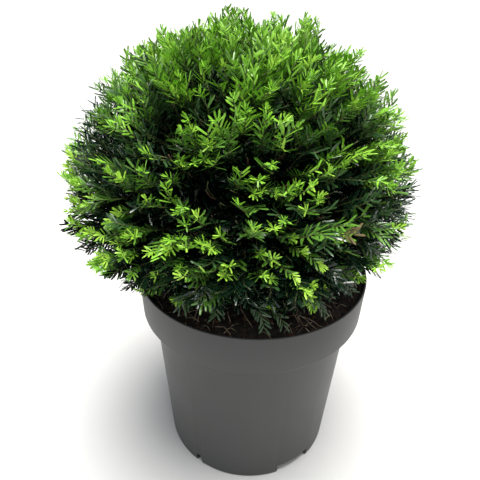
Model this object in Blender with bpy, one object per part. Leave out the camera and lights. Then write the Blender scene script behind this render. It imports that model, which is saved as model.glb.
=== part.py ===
"""Potted yew: a clipped ball of foliage on a short forked stem, in a round plastic nursery pot.

Metres, +Z up. The origin is the middle of the pot's flat underside, and -Y is the front.
"""

import math
import random

import bmesh
import bpy
from mathutils import Matrix, Quaternion, Vector, noise

GAP = 0.0003  # clearance between pieces that touch
SLIVER = 0.0012  # edges shorter than this are closed up on the cores
CUTTER_OVER = 0.006  # how far a cutter passes the face it cuts through
ARC_STEP_DEG = 7.5
UP = Vector((0, 0, 1))

# the pot: a tapered body, and a wide band that steps out round its mouth
RIM_RADIUS = 0.175
POT_HEIGHT = 0.330
WALL = 0.003
BAND_HEIGHT = 0.064
BAND_FOOT_RADIUS = 0.1727
BODY_TOP_RADIUS = 0.1556
BODY_FOOT_RADIUS = 0.1391
EDGE_ROUNDING = 0.0012
POT_SEGMENTS = 48

# drainage: recesses under the foot's edge, the same on both halves of the pot
RECESSES_DEG = ((22.5, 48.0), (-36.0, -31.5))  # from the front towards +X
RECESS_HEIGHT = 0.018
RECESS_DEPTH = 0.014
DRAIN_RADIUS = 0.0045
DRAIN_SIDES = 12
DRAIN_PLACES = (0.25, 0.75)  # shares of the way along the wide recesses
DRAIN_INSET = 0.0077

# the compost
SOIL_BELOW_RIM = 0.012
SOIL_CROWNING = 0.004  # how much higher the compost stands round the stem
SOIL_FLAT_RADIUS = 0.045
SOIL_SHOULDER_RADIUS = 0.140
SOIL_SHOULDER = 0.001

# the short stem under the crown
TRUNK_TOP = 0.428
TRUNK_LEAN = Vector((-0.014, 0.003, 0))  # where its top stands from its foot
TRUNK_RADII = ((0.0, 0.025), (0.05, 0.019), (0.16, 0.0155), (0.5, 0.0135), (1.0, 0.0100))
TRUNK_SIDES = 12
FLARE_LOBES = 5
FLARE_DEPTH = 0.16
FLARE_SHARE = 0.25

# the clipped crown: a dome whose underside runs in to a narrower foot over the compost
CROWN_CENTRE = Vector((-0.0224, 0.0, 0.4447))
CROWN_RADIUS = 0.2366
CROWN_EDGE_DROP = 0.0220  # below the centre, where the dome turns under
CROWN_FOOT_RADIUS = 0.124
CROWN_FOOT_DROP = 0.102
EDGE_SHARPNESS = 26
LUMP_DEPTH = 0.040
LUMP_SIZE = 2.8
LUMP_PLACE = Vector((15.4, 9.4, 5.4))  # where in the noise the lumps are read
CLEAR_BELOW = 0.004  # how far the lowest sprays stay above the rim and the compost

# the masses that the crown is made of
MASSES = 11
LOWEST_MASS_DEG = 112
MASS_SPACING = 0.004
CORE_SHARE = 0.865
CORE_INNER = 0.086  # from the crown's centre to the flat inner side of a mass
CORE_DETAIL = 3
STEM_START = 0.066
STEM_RADII = (0.0038, 0.0045)
STEM_SUNK = 0.020
STEM_SIDES = 6

# the boughs: one limb from the stem to each mass
BOUGH_FOOT_RADIUS = 0.0056
BOUGH_LOWEST = 0.345
BOUGH_HIGHEST = 0.412
BOUGH_RINGS = 5
BOUGH_RISE = 0.55  # how steeply it leaves the stem
BOUGH_PULLS = (0.42, 0.35)  # of its length: the stem's and the mass's hold on its curve
LEADER_RADIUS = 0.0075
LEADER_SUNK = 0.004

# the sprays of needles: toothed blades, thickest in the middle, sunk into the cores
SPRAYS = 352
LOWEST_SPRAY_DEG = 124
SPRAY_REACH = (0.98, 1.06)  # where the tips come, as shares of the outline
SPRAY_LEAN_DEG = (12, 36)  # from straight out
SPRAY_DROOP = 0.5
SPRAY_SUNK = 0.012
SPRAY_WIDTH = 0.052
SPRAY_THICKNESS = 0.0055
SPRAY_MIDDLE = 0.6
SPRAY_TEETH = ((0.42, 0.30), (0.60, 1.0), (0.70, 0.32), (0.86, 0.62))  # along, half width
CELL_MARGIN = 0.0004
SPRAY_TRIES = 24
SMALLEST_SPRAY = 0.7
DRAW_IN = 0.012  # how much nearer its mass's middle a spray is tried each time
JITTER = 0.035
UNDERSIDE = -0.12  # directions lower than this hold every other spray


def clear_scene():
    for obj in list(bpy.data.objects):
        bpy.data.objects.remove(obj, do_unlink=True)


def new_material(name, colour, roughness):
    material = bpy.data.materials.new(name)
    material.use_nodes = True
    shader = material.node_tree.nodes["Principled BSDF"]
    shader.inputs["Base Color"].default_value = (*colour, 1)
    shader.inputs["Roughness"].default_value = roughness
    shader.inputs["Metallic"].default_value = 0
    return material


def new_object(name, mesh, material=None, smooth_deg=None):
    obj = bpy.data.objects.new(name, mesh)
    bpy.context.scene.collection.objects.link(obj)
    if material:
        mesh.materials.append(material)
    if smooth_deg is not None:
        mesh.shade_smooth()
        mesh.set_sharp_from_angle(angle=math.radians(smooth_deg))
    return obj


def mesh_from(bm, name):
    """The bmesh as a mesh, its faces turned outwards."""
    bmesh.ops.recalc_face_normals(bm, faces=bm.faces)
    mesh = bpy.data.meshes.new(name)
    bm.to_mesh(mesh)
    bm.free()
    return mesh


def turned(profile, name):
    """A solid of revolution from (radius, height) points that start and end on the Z axis."""
    bm = bmesh.new()
    points = [bm.verts.new((radius, 0, height)) for radius, height in profile]
    edges = [bm.edges.new(pair) for pair in zip(points, points[1:])]
    bmesh.ops.spin(
        bm,
        geom=points + edges,
        cent=(0, 0, 0),
        axis=UP,
        angle=math.tau,
        steps=POT_SEGMENTS,
        use_merge=True,
    )
    bmesh.ops.remove_doubles(bm, verts=bm.verts, dist=1e-5)
    return mesh_from(bm, name)


def wedge(inner, outer, low, high, start_deg, end_deg, name):
    """A block between two radii, two heights and two angles, measured from -Y towards +X."""
    bm = bmesh.new()
    steps = max(1, round((end_deg - start_deg) / ARC_STEP_DEG))
    section = [
        bm.verts.new((radius, 0, height))
        for radius, height in ((inner, low), (outer, low), (outer, high), (inner, high))
    ]
    bm.faces.new(section)
    bmesh.ops.rotate(
        bm, verts=bm.verts, matrix=Matrix.Rotation(math.radians(start_deg - 90), 3, "Z")
    )
    bmesh.ops.spin(
        bm,
        geom=bm.verts[:] + bm.edges[:] + bm.faces[:],
        cent=(0, 0, 0),
        axis=UP,
        angle=math.radians(end_deg - start_deg),
        steps=steps,
    )
    return mesh_from(bm, name)


def tube(points, radii, sides, name, last_way=None):
    """A closed limb along the points. Its rings are square to the run, the last one to last_way."""
    bm = bmesh.new()
    rings = []
    side = (points[-1] - points[0]).orthogonal().normalized()
    for i, (point, radius) in enumerate(zip(points, radii)):
        along = (points[min(i + 1, len(points) - 1)] - points[max(i - 1, 0)]).normalized()
        if last_way and i == len(points) - 1:
            along = last_way
        side = (side - along * side.dot(along)).normalized()
        across = along.cross(side)
        angles = [math.tau * k / sides for k in range(sides)]
        rings.append(
            [
                bm.verts.new(point + radius * (math.cos(a) * side + math.sin(a) * across))
                for a in angles
            ]
        )
    for lower, upper in zip(rings, rings[1:]):
        for k in range(sides):
            bm.faces.new((lower[k - 1], lower[k], upper[k], upper[k - 1]))
    bm.faces.new(rings[0])
    bm.faces.new(rings[-1])
    return mesh_from(bm, name)


def boolean(obj, other, operation):
    modifier = obj.modifiers.new(f"{operation} {other.name}", "BOOLEAN")
    modifier.operation = operation
    if isinstance(other, bpy.types.Collection):
        modifier.operand_type = "COLLECTION"
        modifier.collection = other
        return
    modifier.object = other
    other.hide_render = True
    other.display_type = "WIRE"


def apply_modifiers(obj):
    """The object's evaluated mesh in place of its modifiers."""
    bpy.context.view_layer.update()
    graph = bpy.context.evaluated_depsgraph_get()
    mesh = bpy.data.meshes.new_from_object(obj.evaluated_get(graph))
    obj.modifiers.clear()
    obj.data = mesh


# ---- pot and compost


def body_radius(height):
    """The body's outer radius at a height below the band."""
    share = height / (POT_HEIGHT - BAND_HEIGHT)
    return BODY_FOOT_RADIUS + (BODY_TOP_RADIUS - BODY_FOOT_RADIUS) * share


def inner_profile(top, shrink=0.0):
    """The pot's inside from the floor's middle up to a height, drawn in by an amount."""
    step = POT_HEIGHT - BAND_HEIGHT + WALL + shrink
    rise = (RIM_RADIUS - BAND_FOOT_RADIUS) / BAND_HEIGHT
    band_step = BAND_FOOT_RADIUS - WALL - shrink
    return [
        (0, WALL + shrink),
        (body_radius(WALL) - WALL - shrink, WALL + shrink),
        (body_radius(step) - WALL - shrink, step),
        (band_step, step),
        (band_step + rise * (top - step), top),
    ]


def recess_wedges(grow, name):
    """The drainage recesses of both halves as separate blocks, grown by a wall on each side."""
    found = []
    for half_turn in (0, 180):
        for start, end in RECESSES_DEG:
            extra = math.degrees(grow / BODY_FOOT_RADIUS)
            found.append(
                wedge(
                    BODY_FOOT_RADIUS - RECESS_DEPTH - grow,
                    body_radius(RECESS_HEIGHT) + (-WALL / 2 if grow else CUTTER_OVER),
                    WALL / 2 if grow else -CUTTER_OVER,
                    RECESS_HEIGHT + grow,
                    start + half_turn - extra,
                    end + half_turn + extra,
                    f"{name} {len(found)}",
                )
            )
    return found


def make_pot(material):
    lip = EDGE_ROUNDING
    foot, step = BODY_FOOT_RADIUS, POT_HEIGHT - BAND_HEIGHT
    outer = [
        (0, 0),
        (foot - 2 * lip, 0),
        (foot, 2 * lip),
        (BODY_TOP_RADIUS, step),
        (BAND_FOOT_RADIUS - lip, step),
        (BAND_FOOT_RADIUS, step + lip),
        (RIM_RADIUS, POT_HEIGHT - lip),
        (RIM_RADIUS - lip, POT_HEIGHT),
        (RIM_RADIUS - WALL + lip / 2, POT_HEIGHT),
    ]
    inside = inner_profile(POT_HEIGHT - lip)
    pot = new_object("pot", turned(outer + inside[::-1], "pot"), material, 30)
    for mesh in recess_wedges(WALL, "recess housing"):
        boolean(pot, new_object(mesh.name, mesh), "UNION")
    for mesh in recess_wedges(0, "recess"):
        boolean(pot, new_object(mesh.name, mesh), "DIFFERENCE")
    wide_start, wide_end = RECESSES_DEG[0]
    for half_turn in (0, 180):
        for share in DRAIN_PLACES:
            angle = math.radians(wide_start + share * (wide_end - wide_start) + half_turn)
            radius = BODY_FOOT_RADIUS - DRAIN_INSET
            middle = Vector((radius * math.sin(angle), -radius * math.cos(angle), RECESS_HEIGHT))
            ends = [middle - CUTTER_OVER * UP, middle + (WALL + CUTTER_OVER) * UP]
            drain = tube(ends, [DRAIN_RADIUS] * 2, DRAIN_SIDES, "drain")
            boolean(pot, new_object(f"drain {half_turn} {share}", drain), "DIFFERENCE")
    return pot


def make_soil(material):
    edge = POT_HEIGHT - SOIL_BELOW_RIM
    profile = inner_profile(edge, GAP)
    profile += [(SOIL_SHOULDER_RADIUS, edge + SOIL_SHOULDER)]
    profile += [(SOIL_FLAT_RADIUS, edge + SOIL_CROWNING), (0, edge + SOIL_CROWNING)]
    soil = new_object("soil", turned(profile, "soil"), material, 30)
    for mesh in recess_wedges(WALL + GAP, "recess clearance"):
        boolean(soil, new_object(mesh.name, mesh), "DIFFERENCE")
    return soil


# ---- stem and boughs


def trunk_foot():
    return POT_HEIGHT - SOIL_BELOW_RIM + SOIL_CROWNING + GAP


def trunk_point(height):
    """The middle of the stem at a height."""
    share = (height - trunk_foot()) / (TRUNK_TOP - trunk_foot())
    return TRUNK_LEAN * share**1.5 + height * UP


def trunk_mesh(grow, name):
    """The leaning, tapering stem with its root flare, cut flat at the compost."""
    bm = bmesh.new()
    rings = []
    for share, radius in TRUNK_RADII:
        height = trunk_foot() + share * (TRUNK_TOP - trunk_foot())
        flare = FLARE_DEPTH * max(0.0, 1 - share / FLARE_SHARE)
        ring = []
        for k in range(TRUNK_SIDES):
            angle = math.tau * k / TRUNK_SIDES
            reach = grow + radius * (1 + flare * math.cos(FLARE_LOBES * angle))
            ring.append(
                bm.verts.new(
                    trunk_point(height) + reach * Vector((math.cos(angle), math.sin(angle), 0))
                )
            )
        rings.append(ring)
    for ring, shift in ((rings[0], -grow), (rings[-1], grow)):
        for vert in ring:
            vert.co.z += shift
    for lower, upper in zip(rings, rings[1:]):
        for k in range(TRUNK_SIDES):
            bm.faces.new((lower[k - 1], lower[k], upper[k], upper[k - 1]))
    bm.faces.new(rings[0])
    bm.faces.new(rings[-1])
    bmesh.ops.triangulate(bm, faces=bm.faces)
    return mesh_from(bm, name)


def bezier(start, start_pull, end_pull, end, steps):
    """Points along a cubic curve."""
    found = []
    for i in range(steps):
        t = i / (steps - 1)
        found.append(
            (1 - t) ** 3 * start
            + 3 * (1 - t) ** 2 * t * start_pull
            + 3 * (1 - t) * t**2 * end_pull
            + t**3 * end
        )
    return found


def make_boughs(directions, material):
    """One tapering limb to each mass. The topmost goes on from the stem's top."""
    clearance = new_object("stem clearance", trunk_mesh(GAP, "stem clearance"))
    leader = max(range(len(directions)), key=lambda i: directions[i].z)
    others = [i for i in range(len(directions)) if i != leader]
    others.sort(key=lambda i: directions[i].z)
    for i, direction in enumerate(directions):
        if i == leader:
            start, foot_radius = trunk_point(TRUNK_TOP - LEADER_SUNK), LEADER_RADIUS
            rise = UP
        else:
            rank = others.index(i) / (len(others) - 1)
            height = BOUGH_LOWEST + rank * (BOUGH_HIGHEST - BOUGH_LOWEST)
            start, foot_radius = trunk_point(height), BOUGH_FOOT_RADIUS
            level = Vector((direction.x, direction.y, 0)).normalized()
            rise = (level + BOUGH_RISE * UP).normalized()
        end = CROWN_CENTRE + direction * (STEM_START - GAP)
        reach = (end - start).length
        start_pull = start + BOUGH_PULLS[0] * reach * rise
        end_pull = end - BOUGH_PULLS[1] * reach * direction
        path = bezier(start, start_pull, end_pull, end, BOUGH_RINGS)
        radii = [
            foot_radius + (STEM_RADII[0] - foot_radius) * k / (BOUGH_RINGS - 1)
            for k in range(BOUGH_RINGS)
        ]
        name = f"bough_{i + 1:02d}"
        limb = tube(path, radii, STEM_SIDES, name, last_way=direction)
        bough = new_object(name, limb, material, 50)
        boolean(bough, clearance, "DIFFERENCE")


# ---- crown


def spiral_directions(count, lowest_deg):
    """Directions spread evenly over a sphere, from its top down to an angle."""
    span = 1 - math.cos(math.radians(lowest_deg))
    found = []
    for i in range(count):
        z = 1 - span * (i + 0.5) / count
        turn = i * math.pi * (3 - math.sqrt(5))
        level = math.sqrt(1 - z * z)
        found.append(Vector((level * math.cos(turn), level * math.sin(turn), z)))
    return found


def outline(direction):
    """How far the clipped crown reaches from its centre in a direction."""
    level = math.hypot(direction.x, direction.y)
    drop = -direction.z
    run = CROWN_RADIUS - CROWN_FOOT_RADIUS
    fall = CROWN_FOOT_DROP - CROWN_EDGE_DROP
    under = (fall * CROWN_RADIUS + run * CROWN_EDGE_DROP) / max(
        fall * level + run * drop, 1e-6
    )
    foot = CROWN_FOOT_DROP / max(drop, 1e-6)
    total = sum(reach**-EDGE_SHARPNESS for reach in (CROWN_RADIUS, under, foot))
    lump = LUMP_DEPTH * noise.noise(direction * LUMP_SIZE + LUMP_PLACE)
    return total ** (-1 / EDGE_SHARPNESS) * (1 + lump)


def cell_planes(directions, i):
    """The normals of the planes through the crown's centre that part mass i from the others."""
    return [(other - directions[i]).normalized() for j, other in enumerate(directions) if j != i]


def core_mesh(direction, planes, name):
    """The dense inside of a mass: its share of the crown, drawn in from the outline."""
    bm = bmesh.new()
    bmesh.ops.create_icosphere(bm, subdivisions=CORE_DETAIL, radius=1)
    for vert in bm.verts:
        way = vert.co.normalized()
        vert.co = way * outline(way) * CORE_SHARE
    cuts = [(-MASS_SPACING / 2 * normal, normal) for normal in planes]
    cuts.append((CORE_INNER * direction, -direction))
    for point, normal in cuts:
        cut = bmesh.ops.bisect_plane(
            bm,
            geom=bm.verts[:] + bm.edges[:] + bm.faces[:],
            dist=1e-5,
            plane_co=point,
            plane_no=normal,
            clear_outer=True,
        )
        edges = [item for item in cut["geom_cut"] if isinstance(item, bmesh.types.BMEdge)]
        if edges:
            bmesh.ops.edgeloop_fill(bm, edges=edges)
    bmesh.ops.dissolve_degenerate(bm, edges=bm.edges, dist=SLIVER)
    bmesh.ops.triangulate(bm, faces=bm.faces)
    bmesh.ops.translate(bm, verts=bm.verts, vec=CROWN_CENTRE)
    return mesh_from(bm, name)


def spray_points(root, along, across, length, width):
    """The corners of one toothed blade: its outline from the root, then its two middles."""
    right = [root + along * length * s + across * width / 2 * w for s, w in SPRAY_TEETH]
    left = [root + along * length * s - across * width / 2 * w for s, w in SPRAY_TEETH]
    edge = [root, *right, root + along * length, *left[::-1]]
    middle = root + along * length * SPRAY_MIDDLE
    normal = along.cross(across) * SPRAY_THICKNESS / 2
    return edge, [middle + normal, middle - normal]


def spray_mesh(edge, middles, name):
    """A closed blade, its outline fanned out from the middle of either side."""
    bm = bmesh.new()
    rim = [bm.verts.new(point) for point in edge]
    for point in middles:
        middle = bm.verts.new(point)
        for k in range(len(rim)):
            bm.faces.new((rim[k - 1], rim[k], middle))
    return mesh_from(bm, name)


def spray_frame(way, rng):
    """The way a spray grows, leaning from straight out, and a way across it."""
    side = way.orthogonal().normalized()
    tangent = Quaternion(way, rng.uniform(0, math.tau)) @ side
    tangent += SPRAY_DROOP * (way * way.z - UP)
    lean = math.radians(rng.uniform(*SPRAY_LEAN_DEG))
    along = way * math.cos(lean) + tangent.normalized() * math.sin(lean)
    across = along.cross(tangent).normalized()
    return along, Quaternion(along, rng.uniform(0, math.pi)) @ across


def is_clear(points, planes):
    """Whether a spray keeps to its mass's space, and off the rim and the compost."""
    if any(p.dot(normal) > -CELL_MARGIN for p in points for normal in planes):
        return False
    placed = [p + CROWN_CENTRE for p in points]
    inside_pot = all(math.hypot(p.x, p.y) < RIM_RADIUS - WALL - CLEAR_BELOW for p in placed)
    floor = trunk_foot() if inside_pot else POT_HEIGHT
    return min(p.z for p in placed) > floor + CLEAR_BELOW


def grow_spray(first_way, middle_way, planes, rng):
    """The corners of a spray, smaller and drawn in at each try until it is clear, or None."""
    for attempt in range(SPRAY_TRIES):
        way = (first_way + DRAW_IN * attempt * middle_way).normalized()
        surface = outline(way)
        root = way * (surface * CORE_SHARE - SPRAY_SUNK)
        along, across = spray_frame(way, rng)
        size = 1 - (1 - SMALLEST_SPRAY) * attempt / SPRAY_TRIES
        length = (surface * rng.uniform(*SPRAY_REACH) - root.length) / along.dot(way)
        edge, middles = spray_points(root, along, across, length * size, SPRAY_WIDTH * size)
        if is_clear(edge + middles, planes):
            return [CROWN_CENTRE + p for p in edge], [CROWN_CENTRE + p for p in middles]
    return None


def keep_largest_shell(mesh):
    """Drops the loose scraps and sealed hollows that fusing may leave."""
    bm = bmesh.new()
    bm.from_mesh(mesh)
    left, shells = set(bm.faces), []
    while left:
        shell, front = set(), [left.pop()]
        while front:
            face = front.pop()
            shell.add(face)
            for edge in face.edges:
                for neighbour in edge.link_faces:
                    if neighbour in left:
                        left.remove(neighbour)
                        front.append(neighbour)
        shells.append(shell)
    shells.sort(key=len)
    for shell in shells[:-1]:
        bmesh.ops.delete(bm, geom=list(shell), context="FACES")
    bmesh.ops.triangulate(bm, faces=bm.faces)
    bm.to_mesh(mesh)
    bm.free()


def make_mass(i, direction, planes, ways, material):
    """One mass: a stem, a dense core and the sprays that stand out of it, fused together."""
    rng = random.Random(70 + i)
    name = f"crown_mass_{i + 1:02d}"
    mass = new_object(name, core_mesh(direction, planes, name))
    helpers = bpy.data.collections.new("sprays")
    bpy.context.scene.collection.children.link(helpers)
    ends = [
        CROWN_CENTRE + direction * STEM_START,
        CROWN_CENTRE + direction * (CORE_INNER + STEM_SUNK),
    ]
    meshes = [tube(ends, STEM_RADII, STEM_SIDES, "stem")]
    for way in ways:
        grown = grow_spray(way, direction, planes, rng)
        if grown:
            meshes.append(spray_mesh(*grown, "spray"))
    for mesh in meshes:
        helpers.objects.link(bpy.data.objects.new(mesh.name, mesh))
    boolean(mass, helpers, "UNION")
    apply_modifiers(mass)
    for obj in list(helpers.objects):
        bpy.data.objects.remove(obj, do_unlink=True)
    bpy.data.collections.remove(helpers)
    keep_largest_shell(mass.data)
    mass.data.materials.clear()
    mass.data.materials.append(material)
    return len(meshes) - 1


def make_crown(directions, material):
    """Every mass of the crown, with the sprays dealt out to the mass each one stands in."""
    rng = random.Random(7)
    shares = [[] for _ in directions]
    for k, way in enumerate(spiral_directions(SPRAYS, LOWEST_SPRAY_DEG)):
        jitter = Vector([rng.uniform(-JITTER, JITTER) for _ in range(3)])
        way = (way + jitter).normalized()
        if way.z < UNDERSIDE and k % 2:
            continue
        nearest = max(range(len(directions)), key=lambda i: directions[i].dot(way))
        shares[nearest].append(way)
    for i, direction in enumerate(directions):
        planes = cell_planes(directions, i)
        count = make_mass(i, direction, planes, shares[i], material)
        print(f"mass {i + 1}: {count} sprays, {len(bpy.data.objects)} objects")


def main():
    clear_scene()
    plastic = new_material("grey plastic", (0.095, 0.098, 0.100), 0.45)
    compost = new_material("compost", (0.020, 0.014, 0.010), 0.95)
    bark = new_material("bark", (0.115, 0.062, 0.038), 0.85)
    foliage = new_material("yew foliage", (0.030, 0.110, 0.018), 0.50)
    make_pot(plastic)
    make_soil(compost)
    new_object("trunk", trunk_mesh(0, "trunk"), bark, 50)
    directions = spiral_directions(MASSES, LOWEST_MASS_DEG)
    make_boughs(directions, bark)
    make_crown(directions, foliage)


main()
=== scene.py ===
import math
import random

import bmesh
import bpy
import numpy as np
from mathutils import Matrix, Quaternion, Vector, noise


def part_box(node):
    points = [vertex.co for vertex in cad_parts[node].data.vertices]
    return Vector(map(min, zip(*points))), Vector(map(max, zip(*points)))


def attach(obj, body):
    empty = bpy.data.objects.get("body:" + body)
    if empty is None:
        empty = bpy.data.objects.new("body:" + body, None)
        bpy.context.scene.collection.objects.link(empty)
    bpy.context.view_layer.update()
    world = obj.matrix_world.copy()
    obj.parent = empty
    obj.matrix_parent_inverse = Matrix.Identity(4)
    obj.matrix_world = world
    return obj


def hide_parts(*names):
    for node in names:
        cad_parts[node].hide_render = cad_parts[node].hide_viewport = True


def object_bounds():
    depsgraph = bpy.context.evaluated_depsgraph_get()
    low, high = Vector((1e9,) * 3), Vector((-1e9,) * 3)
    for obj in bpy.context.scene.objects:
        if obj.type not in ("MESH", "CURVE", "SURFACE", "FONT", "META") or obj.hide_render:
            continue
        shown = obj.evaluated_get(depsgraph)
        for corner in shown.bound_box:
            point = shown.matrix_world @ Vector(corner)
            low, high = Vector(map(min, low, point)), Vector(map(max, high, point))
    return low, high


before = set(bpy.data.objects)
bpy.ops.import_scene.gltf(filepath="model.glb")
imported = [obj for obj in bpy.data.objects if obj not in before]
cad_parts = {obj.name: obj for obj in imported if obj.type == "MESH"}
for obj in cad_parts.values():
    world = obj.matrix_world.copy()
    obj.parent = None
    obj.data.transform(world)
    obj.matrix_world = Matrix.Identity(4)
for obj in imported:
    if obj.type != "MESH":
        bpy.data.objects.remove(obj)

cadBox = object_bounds()
upward = Vector((0, 0, 1))
massNames = sorted(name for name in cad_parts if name.startswith("crown_mass_"))


def linked(name, data):
    thing = bpy.data.objects.new(name, data)
    bpy.context.scene.collection.objects.link(thing)
    return thing


def clamped(value):
    return max(0.0, min(1.0, value))


# camera, floor and light

viewing = {
    "place": (0, -0.631, 0.7375),
    "pitchDeg": 30.05,
    "yawDeg": -1.87,
    "rollDeg": 1.21,
    "lensMm": 35.87,
    "sensorMm": 36,
}


def placeCamera():
    data = bpy.data.cameras.new("camera")
    data.lens = viewing["lensMm"]
    data.sensor_width = viewing["sensorMm"]
    data.clip_end = 60
    camera = linked("camera", data)
    pitch, yaw, roll = (math.radians(viewing[key]) for key in ("pitchDeg", "yawDeg", "rollDeg"))
    ahead = Vector((
        math.sin(yaw) * math.cos(pitch), math.cos(yaw) * math.cos(pitch), -math.sin(pitch)
    ))
    level = Vector((math.cos(yaw), -math.sin(yaw), 0))
    steep = level.cross(ahead)
    right = math.cos(roll) * level + math.sin(roll) * steep
    top = math.cos(roll) * steep - math.sin(roll) * level
    turn = Matrix((right, top, -ahead)).transposed().to_4x4()
    camera.matrix_world = Matrix.Translation(viewing["place"]) @ turn
    bpy.context.scene.camera = camera


studio = {
    "floorHalf": 18,
    "floorColour": (0.58, 0.58, 0.58),
    "zenith": (0.52, 0.54, 0.56),
    "horizon": (0.26, 0.27, 0.28),
    "overhead": {"from": (0.12, -0.10, 2.4), "spreadDeg": 34, "strength": 5.6,
                 "colour": (1.0, 0.98, 0.94)},
    "lamps": (
        {"name": "front fill", "place": (0.3, -1.6, 2.2), "size": 0.6, "watts": 8,
         "colour": (0.95, 0.98, 1.0)},
        {"name": "right side", "place": (2.2, 0.2, 0.8), "size": 1.4, "watts": 5,
         "colour": (1.0, 0.84, 0.64)},
        {"name": "left side", "place": (-2.2, 0.3, 0.7), "size": 1.4, "watts": 5,
         "colour": (0.97, 1.0, 0.98)},
    ),
}


def placeLamp(data, place):
    light = linked(data.name, data)
    light.location = place
    aim = Vector((0, 0, 0.35)) - place
    light.rotation_euler = aim.to_track_quat("-Z", "Y").to_euler()


def lightStudio():
    world = bpy.data.worlds.new("studio")
    world.use_nodes = True
    sky = Shader("sky", tree=world.node_tree)
    around = sky.add("TexCoord", output="Generated")
    height = sky.add("SeparateXYZ", sockets={"Vector": around}, output="Z")
    glow = sky.ramp(height, (0.0, studio["horizon"]), (0.75, studio["zenith"]))
    sky.feed(world.node_tree.nodes["Background"].inputs["Color"], glow)
    bpy.context.scene.world = world
    overhead = bpy.data.lights.new("overhead", "SUN")
    overhead.energy = studio["overhead"]["strength"]
    overhead.angle = math.radians(studio["overhead"]["spreadDeg"])
    overhead.color = studio["overhead"]["colour"]
    placeLamp(overhead, Vector(studio["overhead"]["from"]))
    for lamp in studio["lamps"]:
        data = bpy.data.lights.new(lamp["name"], "AREA")
        data.shape = "DISK"
        data.size = lamp["size"]
        data.energy = lamp["watts"]
        data.color = lamp["colour"]
        placeLamp(data, Vector(lamp["place"]))
    bm = bmesh.new()
    bmesh.ops.create_grid(bm, x_segments=1, y_segments=1, size=studio["floorHalf"])
    bmesh.ops.translate(bm, verts=bm.verts, vec=(0, 0, -0.0002))
    mesh = bpy.data.meshes.new("floor")
    bm.to_mesh(mesh)
    bm.free()
    floor = linked("floor", mesh)
    paint = Shader("pale floor", studio["floorColour"], 0.8)
    mesh.materials.append(paint.material)


# shader maths: a wire is a node's output that takes part in sums

class Wire:
    def __init__(self, shader, socket):
        self.shader = shader
        self.socket = socket

    def joined(self, operation, first, second):
        return self.shader.add("Math", {"operation": operation}, {0: first, 1: second})

    def __add__(self, other):
        return self.joined("ADD", self, other)

    def __radd__(self, other):
        return self.joined("ADD", other, self)

    def __rmul__(self, other):
        return self.joined("MULTIPLY", other, self)


class Shader:
    def __init__(self, name, colour=None, roughness=None, tree=None):
        self.tree = tree
        self.place = None
        if tree is None:
            self.material = bpy.data.materials.new(name)
            self.material.use_nodes = True
            self.tree = self.material.node_tree
            self.surface = self.tree.nodes["Principled BSDF"]
            self.set(Base_Color=colour, Roughness=roughness)

    def feed(self, socket, value):
        if isinstance(value, Wire):
            self.tree.links.new(value.socket, socket)
        elif socket.type == "RGBA" and len(value) == 3:
            socket.default_value = (*value, 1)
        else:
            socket.default_value = value

    # a node of any type: its settings first, then its sockets
    def add(self, kind, settings=None, sockets=None, output=0):
        node = self.tree.nodes.new("ShaderNode" + kind)
        for key, value in (settings or {}).items():
            if key == "stops":
                ramp = node.color_ramp.elements
                while len(ramp) < len(value):
                    ramp.new(1)
                for stop, (position, colour) in zip(ramp, value):
                    stop.position = position
                    stop.color = (*colour, 1)
            else:
                setattr(node, key, value)
        for key, value in (sockets or {}).items():
            self.feed(node.inputs[key], value)
        return Wire(self, node.outputs[output])

    def noise(self, scale, detail=2.0, stretch=None):
        if self.place is None:
            self.place = self.add("TexCoord", output="Object")
        place = self.place
        if stretch:
            place = self.add("Mapping", sockets={"Vector": place, "Scale": stretch})
        return self.add("TexNoise", sockets={"Vector": place, "Scale": scale, "Detail": detail})

    def ramp(self, value, *stops):
        return self.add("ValToRGB", {"stops": stops}, {"Fac": value})

    def mixed(self, share, first, second):
        # 6 and 7 are the node's two colours, and its output 2 is the mixed one
        sockets = {"Factor": share, 6: first, 7: second}
        return self.add("Mix", {"data_type": "RGBA"}, sockets, output=2)

    def set(self, **sockets):
        for key, value in sockets.items():
            self.feed(self.surface.inputs[key.replace("_", " ")], value)

    def bump(self, height, distance):
        self.set(Normal=self.add("Bump", sockets={"Height": height, "Distance": distance}))


# making pieces

def smoothed(mesh, sharpDeg):
    mesh.shade_smooth()
    mesh.set_sharp_from_angle(angle=math.radians(sharpDeg))
    return mesh


def asMesh(bm, name, smoothDeg=None):
    bmesh.ops.recalc_face_normals(bm, faces=bm.faces)
    mesh = bpy.data.meshes.new(name)
    bm.to_mesh(mesh)
    bm.free()
    return smoothed(mesh, smoothDeg) if smoothDeg else mesh


def meshOfTriangles(name, points, triangles):
    mesh = bpy.data.meshes.new(name)
    mesh.vertices.add(len(points))
    mesh.vertices.foreach_set("co", np.asarray(points, np.float32).ravel())
    mesh.loops.add(triangles.size)
    mesh.loops.foreach_set("vertex_index", triangles.astype(np.int32).ravel())
    mesh.polygons.add(len(triangles))
    mesh.polygons.foreach_set("loop_start", np.arange(0, triangles.size, 3, dtype=np.int32))
    mesh.update(calc_edges=True)
    return mesh


def addPiece(name, mesh, shader, nodes=()):
    piece = linked(name, mesh)
    mesh.materials.clear()
    mesh.materials.append(shader.material)
    if nodes:
        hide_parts(*nodes)
    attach(piece, "root")
    return piece


def cutMesh(mesh, cutters):
    # each cutter is (operation, mesh); the helpers are removed again
    block = linked("block", mesh)
    helpers = []
    for operation, cutter in cutters:
        helpers.append(linked("cutter", cutter))
        modifier = block.modifiers.new("cut", "BOOLEAN")
        modifier.operation = operation
        modifier.object = helpers[-1]
    bpy.context.view_layer.update()
    graph = bpy.context.evaluated_depsgraph_get()
    result = bpy.data.meshes.new_from_object(block.evaluated_get(graph))
    for helper in [block, *helpers]:
        bpy.data.objects.remove(helper, do_unlink=True)
    return result


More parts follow.
